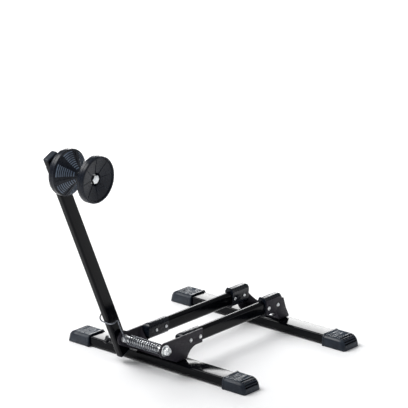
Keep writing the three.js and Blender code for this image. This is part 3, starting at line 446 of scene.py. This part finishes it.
def panhead_screw(node):
    """Low domed head with a small flat crown, on a plain shank."""
    low, high = span(node)
    place = middle(node)
    height = 3.4
    profile = [(low.z, 0), (low.z, 2.9), (high.z - height, 3), (high.z - height, SCREW_HEAD_RADIUS),
               (high.z - height + 1.6, SCREW_HEAD_RADIUS * 0.98), (high.z - 0.7, SCREW_HEAD_RADIUS * 0.72),
               (high.z, SCREW_HEAD_RADIUS * 0.35), (high.z, 0)]
    shape = moved(turn_on_x(profile, 40, easing=0.3), Matrix.Rotation(-math.pi / 2, 4, "Y"))
    piece(node + "_plated", shifted(shape, place.x, place.y, 0), "base", zinc, node)


for end in ("front", "rear"):
    for side in ("right", "left"):
        panhead_screw(f"{end}_{side}_bracket_screw")

# ---------- rails ----------


def rail(node):
    low, high = span(node)
    shape = rectangle(RAIL_WIDTH, RAIL_HEIGHT, "xz")
    round_corners(shape, RAIL_WIDTH / 2 - 0.1, 10)
    hollow_out(shape, RAIL_WALL)
    draw_out(shape, (0, high.y - low.y, 0))
    place = middle(node)
    shifted(shape, place.x, low.y, place.z)
    piece(node + "_painted", shape, "base", gloss_black, node)


def rail_sleeve(node):
    shape = refined(node)
    soften(shape, 0.8, 3, 20)
    piece(node + "_moulded", shape, "base", sleeve_plastic, node, 40)


def rivet(node, outward):
    """Domed head outside the wing, rolled tail inside the sleeve."""
    low, high = span(node)
    place = middle(node)
    reach = high.x - low.x
    head = reach - 1.9
    profile = [(0, 0), (0, 2.2), (1.2, 3), (1.4, 2), (head, 2), (head, RIVET_HEAD_RADIUS),
               (head + 0.5, RIVET_HEAD_RADIUS * 0.97), (head + 1.2, RIVET_HEAD_RADIUS * 0.78),
               (head + 1.7, RIVET_HEAD_RADIUS * 0.45), (head + 1.9, 0)]
    shape = turn_on_x(profile, 32, easing=0.2)
    if outward < 0:
        moved(shape, Matrix.Rotation(math.pi, 4, "Z"))
    start = low.x if outward > 0 else high.x
    piece(node + "_plated", shifted(shape, start, place.y, place.z), "base", zinc, node)


for side, outward in (("right", 1), ("left", -1)):
    rail(side + "_rail")
    for end in ("front", "rear"):
        rail_sleeve(f"{side}_{end}_rail_sleeve")
        for number in (1, 2):
            rivet(f"{side}_{end}_rail_rivet_{number}", outward)

# ---------- fasteners on the X axis ----------


def washer(x0, x1, bore, radius):
    return turn_on_x([(x0, bore), (x0, radius), (x1, radius), (x1, bore)], 56, closed=True, easing=0.25)


def hex_blank(x0, x1, across=HEX_WIDTH, bore=0):
    """Hexagon with both rims turned down, and a bore if one is given."""
    tip = across / math.sqrt(3)
    flat = across / 2
    slope = (tip - flat) * 0.62
    profile = [(x0, bore), (x0, flat * 0.96), (x0 + slope, tip), (x1 - slope, tip), (x1, flat * 0.96),
               (x1, bore)]
    shape = turn_on_x(profile, 72, closed=bore > 0)
    cut_flats(shape, across)
    return shape


def threaded_end(x0, x1, radius, pitch):
    """Bolt end with its thread as close rings, and a turned-down tip at x1."""
    way = 1 if x1 > x0 else -1
    rings = max(1, round(abs(x1 - x0) / pitch))
    step = (x1 - x0) / rings
    root = radius - 0.6 * pitch
    profile = [(x0, 0), (x0, root)]
    for ring in range(rings):
        start = x0 + ring * step
        profile += [(start + 0.45 * step, radius), (start + 0.55 * step, radius), (start + step, root)]
    profile += [(x1 + way * 0.2, root - 0.4), (x1 + way * 0.2, 0)]
    return turn_on_x(profile, 40)


def shank(x0, x1):
    return turn_on_x([(x0, 0), (x0, BOLT_RADIUS), (x1, BOLT_RADIUS), (x1, 0)], 40)


def on_pivot(name, shape, nodes):
    piece(name, shifted(shape, 0, pivot.y, pivot.z), "base", zinc, nodes)


def build_pivot():
    low, high = span("pivot_bolt")
    head_low, head_high = span("pivot_head_washer")
    face = head_low.x - 0.3
    bolt = hex_blank(low.x, face)
    add(bolt, shank(face - 1, high.x - 3))
    add(bolt, threaded_end(high.x - 3, high.x - 0.2, BOLT_RADIUS, BOLT_PITCH))
    on_pivot("pivot_bolt_plated", bolt, "pivot_bolt")
    on_pivot("pivot_head_washer_plated", washer(head_low.x, head_high.x, M8_BORE, 9), "pivot_head_washer")
    low, high = span("pivot_spacer")
    on_pivot("pivot_spacer_turned", washer(low.x, high.x, M8_BORE, 8), "pivot_spacer")
    low, high = span("pivot_clamp_nut")
    on_pivot("pivot_clamp_nut_plated", hex_blank(low.x, high.x, bore=M8_BORE), "pivot_clamp_nut")
    low, high = span("spring_core_tube")
    on_pivot("spring_core_tube_plated", washer(low.x, high.x, M8_BORE, 5.4), "spring_core_tube")
    low, high = span("pivot_nut_washer")
    on_pivot("pivot_nut_washer_plated", washer(low.x, high.x, M8_BORE, 10), "pivot_nut_washer")
    low, high = span("pivot_locknut")
    nut = hex_blank(low.x, high.x - 2, bore=M8_BORE)
    collar = [(low.x + 2, M8_BORE), (low.x + 2, 5.7), (high.x - 0.9, 5.7), (high.x, 5.0), (high.x, M8_BORE)]
    add(nut, turn_on_x(collar, 56, closed=True, easing=0.3))
    on_pivot("pivot_locknut_plated", nut, "pivot_locknut")


build_pivot()

# ---------- torsion spring ----------


def on_arm(x, behind, along):
    """A point in the arm's frame, as the rack sees it."""
    return ARM_TO_RACK @ Vector((x, behind, along))


def bent(points, radius, steps=6):
    """A line of points with each corner turned on a small radius."""
    line = [points[0]]
    for before, corner, after in zip(points, points[1:], points[2:]):
        back = min(radius, (corner - before).length / 2.1)
        ahead = min(radius, (after - corner).length / 2.1)
        start = corner + (before - corner).normalized() * back
        stop = corner + (after - corner).normalized() * ahead
        line += interpolate_bezier(start, start.lerp(corner, 0.6), stop.lerp(corner, 0.6), stop, steps)
    return line + [points[-1]]


def spring_line():
    """The wire's middle line: hook over the arm, long leg, coil, short leg."""
    front = -(ARM_DEPTH / 2 + WIRE_RADIUS + 0.3)
    left = arm_left - 5
    hook = [
        on_arm(left + 1, front + 8, HOOK_HEIGHT + 8), on_arm(left - 0.5, front + 1.5, HOOK_HEIGHT + 3),
        on_arm(left + 2.5, front, HOOK_HEIGHT - 2), on_arm(arm_right - 0.5, front, HOOK_HEIGHT - 4.5),
        on_arm(-42.6, front + 2.2, HOOK_HEIGHT - 4), on_arm(LEG_PLACE + 0.2, -2, HOOK_HEIGHT - 2),
        on_arm(LEG_PLACE + 0.4, -3.5, HOOK_HEIGHT - 15), on_arm(COIL_LEFT - 1, -COIL_RADIUS - 0.2, 9),
    ]
    first = math.pi + ARM_LEAN
    last = 1.5 * math.pi - SHORT_LEG_SLOPE + COIL_TURNS * FULL_TURN
    steps = COIL_TURNS * 36
    coil = []
    for step in range(steps + 1):
        angle = first + (last - first) * step / steps
        coil.append(pivot + Vector((COIL_LEFT + COIL_LENGTH * step / steps,
                                    COIL_RADIUS * math.cos(angle), COIL_RADIUS * math.sin(angle))))
    down = Vector((0, math.cos(SHORT_LEG_SLOPE), -math.sin(SHORT_LEG_SLOPE)))
    legs = [coil[-1] + down * share * SHORT_LEG for share in (0.3, 0.6, 1)]
    return bent(hook + coil[:1], 3.5)[:-1] + coil + legs


def drawn_tube(name, points, radius):
    """A round wire along the points, closed at both ends, as a mesh."""
    curve = bpy.data.curves.new(name, "CURVE")
    curve.dimensions = "3D"
    curve.bevel_depth = radius * MM
    curve.bevel_resolution = 3
    curve.use_fill_caps = True
    strand = curve.splines.new("POLY")
    strand.points.add(len(points) - 1)
    for spot, point in zip(strand.points, points):
        spot.co = (*(point * MM), 1)
    holder = bpy.data.objects.new(name, curve)
    bpy.context.scene.collection.objects.link(holder)
    bpy.context.view_layer.update()
    mesh = bpy.data.meshes.new_from_object(holder.evaluated_get(bpy.context.evaluated_depsgraph_get()))
    bpy.data.objects.remove(holder)
    made = bpy.data.objects.new(name, mesh)
    bpy.context.scene.collection.objects.link(made)
    return made


def build_spring():
    spring = drawn_tube("torsion_spring_wound", spring_line(), WIRE_RADIUS)
    spring.data.shade_smooth()
    spring.data.set_sharp_from_angle(angle=math.radians(50))
    spring.data.materials.clear()
    spring.data.materials.append(spring_wire)
    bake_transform(spring)
    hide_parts("torsion_spring")


build_spring()

# ---------- arm ----------


def on_arm_piece(name, shape, material, nodes, crease=32):
    piece(name, moved(shape, ARM_TO_RACK), "arm", material, nodes, crease)


def arm_plug(top):
    """Plug in one end of the arm, its crown rounded over."""
    shape = rectangle(ARM_WIDTH, ARM_DEPTH, "xy")
    round_corners(shape, ARM_CORNER, 7)
    draw_out(shape, (0, 0, PLUG_CROWN))
    crown = [e for e in shape.edges if all(abs(v.co.z - PLUG_CROWN) < 0.01 for v in e.verts)]
    bmesh.ops.bevel(shape, geom=crown, offset=2.4, segments=5, profile=0.5, affect="EDGES", material=-1,
                    clamp_overlap=True)
    insert = rectangle(ARM_WIDTH - 3.6, ARM_DEPTH - 3.6, "xy")
    round_corners(insert, ARM_CORNER - 1.8, 5)
    draw_out(insert, (0, 0, 14))
    add(shape, shifted(insert, z=-13.5))
    if top:
        return shifted(shape, arm_x, 0, ARM_REACH + ARM_HEAD + 0.3)
    moved(shape, Matrix.Rotation(math.pi, 4, "X"))
    return shifted(shape, arm_x, 0, -ARM_TAIL - 0.3)


def build_arm():
    tube = rectangle(ARM_WIDTH, ARM_DEPTH, "xy")
    round_corners(tube, ARM_CORNER, 9)
    hollow_out(tube, ARM_WALL)
    draw_out(tube, (0, 0, ARM_TAIL + ARM_REACH + ARM_HEAD))
    shifted(tube, arm_x, 0, -ARM_TAIL)
    on_arm_piece("arm_tube_painted", tube, gloss_black, "arm_tube")
    on_arm_piece("arm_top_plug_moulded", arm_plug(True), cap_plastic, "arm_top_plug")
    on_arm_piece("arm_bottom_plug_moulded", arm_plug(False), cap_plastic, "arm_bottom_plug")
    low, high = span("arm_pivot_bush")
    on_arm_piece("arm_pivot_bush_plated", washer(low.x, high.x, M8_BORE, 6), zinc, "arm_pivot_bush")


build_arm()

# ---------- roller ----------

dish_floor = ROLLER_HALF_WIDTH - ROLLER_DISH
hub_seat = dish_floor - ROLLER_HUB_DROP


def groove_at(radius):
    """Half-width of the groove: narrow at the waist, opening like a V with curved sides."""
    share = (radius - ROLLER_WAIST) / (ROLLER_RADIUS - ROLLER_WAIST)
    return 0.15 + (ROLLER_HALF_WIDTH - ROLLER_RIM) * max(share, 0) ** 0.62


def roller_body():
    """The groove's curved wall, the rim band and the dished face, turned in one profile."""
    rim = ROLLER_HALF_WIDTH
    profile = [(0.15, ROLLER_BORE), (0.15, ROLLER_WAIST)]
    steps = 14
    for step in range(1, steps):
        radius = ROLLER_WAIST + (ROLLER_RADIUS - 2.6 - ROLLER_WAIST) * (step / steps) ** 1.4
        profile.append((groove_at(radius), radius))
    profile += [
        (rim - ROLLER_RIM - 0.6, ROLLER_RADIUS - 2.4), (rim - ROLLER_RIM, ROLLER_RADIUS - 0.7),
        (rim - ROLLER_RIM + 0.9, ROLLER_RADIUS), (rim - 6.2, ROLLER_RADIUS), (rim - 5.8, ROLLER_RADIUS - 0.5),
        (rim - 5.4, ROLLER_RADIUS), (rim - 1.8, ROLLER_RADIUS - 0.2), (rim - 0.5, ROLLER_RADIUS - 0.9),
        (rim, ROLLER_RADIUS - 2.2), (rim - 0.1, ROLLER_RADIUS - ROLLER_LIP),
        (rim - 0.9, ROLLER_RADIUS - ROLLER_LIP - 0.5), (rim - 2.4, ROLLER_RADIUS - ROLLER_LIP - 0.9),
        (dish_floor + 0.3, ROLLER_HUB + 1), (dish_floor, ROLLER_HUB), (hub_seat + 0.2, ROLLER_HUB - 0.6),
        (hub_seat, ROLLER_HUB - 1.2), (hub_seat, ROLLER_BORE),
    ]
    return turn_on_x(profile, 96, closed=True)


def groove_ridge(radius):
    """One short raised arc on the groove's wall, standing towards +Z."""
    shape = bmesh.new()
    section = [(groove_at(radius - 0.8) + 0.6, radius - 0.8), (groove_at(radius - 0.5) - 0.55, radius - 0.45),
               (groove_at(radius) - 0.75, radius + 0.05), (groove_at(radius + 0.5) - 0.55, radius + 0.5),
               (groove_at(radius + 0.8) + 0.6, radius + 0.8)]
    spots = [shape.verts.new((x, 0, z)) for x, z in section]
    for near, far in zip(spots, spots[1:] + spots[:1]):
        shape.edges.new((near, far))
    bmesh.ops.spin(shape, geom=shape.verts[:] + shape.edges[:], cent=(0, 0, 0), axis=(1, 0, 0),
                   angle=RIDGE_ARC, steps=8)
    bmesh.ops.holes_fill(shape, edges=shape.edges)
    bmesh.ops.recalc_face_normals(shape, faces=shape.faces)
    # the ridge takes the second, lighter material: a painted highlight
    for face in shape.faces:
        face.material_index = 1
    return moved(shape, Matrix.Rotation(-RIDGE_ARC / 2, 4, "X"))


def ridge_panel():
    """The ridges of one panel, from the waist out to the rim."""
    shape = bmesh.new()
    first, last = ROLLER_WAIST + 3, ROLLER_RADIUS - 4
    for ridge in range(ROLLER_RIDGES):
        add(shape, groove_ridge(first + (last - first) * ridge / (ROLLER_RIDGES - 1)))
    return shape


def groove_rib():
    """Thin wall that parts two panels of ridges, standing towards +Z."""
    top = ROLLER_RADIUS - 2.6
    steps = 12
    radii = [ROLLER_WAIST + 0.4 + (top - ROLLER_WAIST - 0.4) * step / steps for step in range(steps + 1)]
    crest = [(groove_at(radius) - 0.9, radius) for radius in radii]
    root = [(groove_at(radius) + 2.5, radius) for radius in (top, 0.4 * top, ROLLER_WAIST + 0.4)]
    shape = flat_face(crest + root, "xz")
    draw_out(shape, (0, 1.1, 0))
    soften(shape, 0.3, 2, 40)
    return shifted(shape, y=-0.55)


def dish_rib():
    """Low rib on the dished face, from the hub out to the lip."""
    start, stop = ROLLER_HUB - 0.5, ROLLER_RADIUS - ROLLER_LIP - 0.4
    rim = ROLLER_HALF_WIDTH
    outline = [(dish_floor - 1, start), (dish_floor + 0.9, start), (rim - 1.8, stop), (rim - 4, stop)]
    shape = flat_face(outline, "xz")
    draw_out(shape, (0, 1.0, 0))
    soften(shape, 0.3, 2, 40)
    return shifted(shape, y=-0.5)


def roller_half(node, mirrored):
    """One half with its ribs and panels of ridges. The left half is the right one turned about Z."""
    shape = roller_body()
    way = -1 if mirrored else 1
    for panel in range(ROLLER_PANELS):
        turn = panel * FULL_TURN / ROLLER_PANELS + way * GROOVE_RIB_TURN
        add(shape, moved(groove_rib(), Matrix.Rotation(turn, 4, "X")))
        add(shape, moved(ridge_panel(), Matrix.Rotation(turn + math.pi / ROLLER_PANELS, 4, "X")))
    for rib in range(DISH_RIBS):
        turn = rib * FULL_TURN / DISH_RIBS - way * DISH_RIB_TURN
        add(shape, moved(dish_rib(), Matrix.Rotation(turn, 4, "X")))
    if mirrored:
        moved(shape, Matrix.Rotation(math.pi, 4, "Z"))
    moved(shifted(shape, z=ARM_REACH), ARM_TO_RACK)
    half = piece(node + "_moulded", shape, "roller", roller_plastic, node, 28)
    # second material: the lighter ridge plastic, a painted highlight
    half.data.materials.append(ridge_highlight_plastic)


def on_axle(name, shape, nodes, material=None):
    on_arm_piece(name, shifted(shape, z=ARM_REACH), material or zinc, nodes)


def build_roller():
    roller_half("roller_right_half", False)
    roller_half("roller_left_half", True)
    low, high = span("axle_bolt")
    head_low, head_high = span("axle_head_washer")
    face = head_high.x + 0.3
    bolt = hex_blank(face, high.x)
    add(bolt, shank(face + 1, low.x + 3))
    add(bolt, threaded_end(low.x + 3, low.x + 0.2, BOLT_RADIUS, BOLT_PITCH))
    on_axle("axle_bolt_plated", bolt, "axle_bolt")
    on_axle("axle_head_washer_plated", washer(head_low.x, head_high.x, M8_BORE, AXLE_WASHER_RADIUS),
            "axle_head_washer")
    low, high = span("axle_tube")
    on_axle("axle_tube_plated", washer(low.x, high.x, M8_BORE, 5.5), "axle_tube")
    low, high = span("axle_spacer")
    taper = [(low.x, M8_BORE), (low.x, 10), (low.x + 5, 10), (high.x - 3, 7.5), (high.x, 7.5),
             (high.x, M8_BORE)]
    on_axle("axle_spacer_moulded", turn_on_x(taper, 64, closed=True, easing=0.6), "axle_spacer",
            roller_plastic)
    low, high = span("axle_nut_washer")
    on_axle("axle_nut_washer_plated", washer(low.x, high.x, M8_BORE, AXLE_WASHER_RADIUS), "axle_nut_washer")
    low, high = span("axle_nut")
    on_axle("axle_nut_plated", hex_blank(low.x, high.x, bore=M8_BORE), "axle_nut")


build_roller()

# ---------- thumbscrew ----------


def build_lock():
    lock_below = -(ARM_TO_RACK.inverted() @ middle("lock_stud")).z
    low, high = span("lock_nut")
    nut = shifted(hex_blank(low.x, high.x, 8, M5_BORE), z=-lock_below)
    on_arm_piece("lock_nut_plated", nut, zinc, "lock_nut")
    low, high = span("lock_stud")
    stud = shifted(threaded_end(low.x, high.x - 0.2, LOCK_RADIUS, LOCK_PITCH), z=-lock_below)
    piece("lock_stud_plated", moved(stud, ARM_TO_RACK), "lock_screw", zinc, "lock_stud")
    low, high = span("lock_knob")
    knob = turn_on_x([(low.x, 0), (low.x, 3.6), (low.x + 1, 4.7), (high.x - 1, 5.2), (high.x, 4.7),
                      (high.x, M5_BORE), (low.x + 2.7, M5_BORE), (low.x + 2.7, 0)], 48, easing=0.4)
    bar = rectangle(22, 6, "yz")
    round_corners(bar, 2.9, 8)
    draw_out(bar, (6.5, 0, 0))
    soften(bar, 1.1, 4, 40)
    add(knob, shifted(bar, low.x + 1.5))
    piece("lock_knob_moulded", moved(shifted(knob, z=-lock_below), ARM_TO_RACK), "knob",
          knob_plastic, "lock_knob")


build_lock()

# nuts inside the foot tubes keep their frame shape
for end in ("front", "rear"):
    for side in ("right", "left"):
        hidden_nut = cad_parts[f"{end}_{side}_bracket_nut"]
        hidden_nut.data.materials.clear()
        hidden_nut.data.materials.append(zinc)

# ---------- studio ----------


def build_floor():
    shape = bmesh.new()
    bmesh.ops.create_grid(shape, x_segments=4, y_segments=4, size=12)
    mesh = bpy.data.meshes.new("studio_floor")
    shape.to_mesh(mesh)
    shape.free()
    material, _, shader = finish_of("studio_floor", (0.93, 0.93, 0.935), 0.9)
    shader.inputs["Specular IOR Level"].default_value = 0.1
    mesh.materials.append(material)
    floor = bpy.data.objects.new("studio_floor", mesh)
    floor.location.z = -0.0002
    bpy.context.scene.collection.objects.link(floor)


def build_world():
    world = bpy.data.worlds.new("studio")
    world.use_nodes = True
    sky = world.node_tree.nodes["Background"]
    sky.inputs["Color"].default_value = (0.97, 0.985, 1.0, 1)
    sky.inputs["Strength"].default_value = 0.35
    bpy.context.scene.world = world


def aim(lamp_object, target=(0, 0, 0.12)):
    way = Vector(target) - lamp_object.location
    lamp_object.rotation_euler = way.to_track_quat("-Z", "Y").to_euler()


def build_lamps():
    key = bpy.data.lights.new("key", "SUN")
    key.energy = 1.5
    key.angle = math.radians(30)
    holder = bpy.data.objects.new("key", key)
    holder.location = (-1.2, -1.6, 3.2)
    bpy.context.scene.collection.objects.link(holder)
    aim(holder)
    for name, place, width, height, power in (
        ("panel_back", (-1.5, 1.95, 0.9), 1.7, 0.75, 32),
        ("panel_above", (-1.35, -0.7, 1.65), 1.1, 1.1, 24),
        ("panel_right", (2.1, 1.1, 1.5), 0.8, 0.6, 4),
    ):
        box = bpy.data.lights.new(name, "AREA")
        box.shape = "RECTANGLE"
        box.size = width
        box.size_y = height
        box.energy = power
        holder = bpy.data.objects.new(name, box)
        holder.location = place
        holder.visible_camera = False
        bpy.context.scene.collection.objects.link(holder)
        aim(holder)


def build_camera():
    """The photograph's place and angle, from the rack's own feet, rails and arm."""
    bearing = math.radians(39.06)
    height = math.radians(17.68)
    roll = math.radians(1.04)
    level = math.cos(height)
    back = Vector((math.sin(bearing) * level, -math.cos(bearing) * level, math.sin(height)))
    right = Vector((math.cos(bearing), math.sin(bearing), 0))
    up = back.cross(right)
    rolled_right = math.cos(roll) * right + math.sin(roll) * up
    rolled_up = -math.sin(roll) * right + math.cos(roll) * up
    camera = bpy.data.cameras.new("camera")
    camera.sensor_width = 36
    camera.lens = 2803 / 408 * 36
    camera.clip_end = 50
    holder = bpy.data.objects.new("camera", camera)
    turned = Matrix((rolled_right, rolled_up, back)).transposed().to_4x4()
    feet_middle = (middle("front_foot_tube").y + middle("rear_foot_tube").y) / 2
    place = Vector((2819.5, -3506.9 + feet_middle, 1683.9)) * MM
    holder.matrix_world = Matrix.Translation(place) @ turned
    bpy.context.scene.collection.objects.link(holder)
    bpy.context.scene.camera = holder


build_floor()
build_world()
build_lamps()
build_camera()
bpy.context.scene.view_settings.view_transform = "Standard"
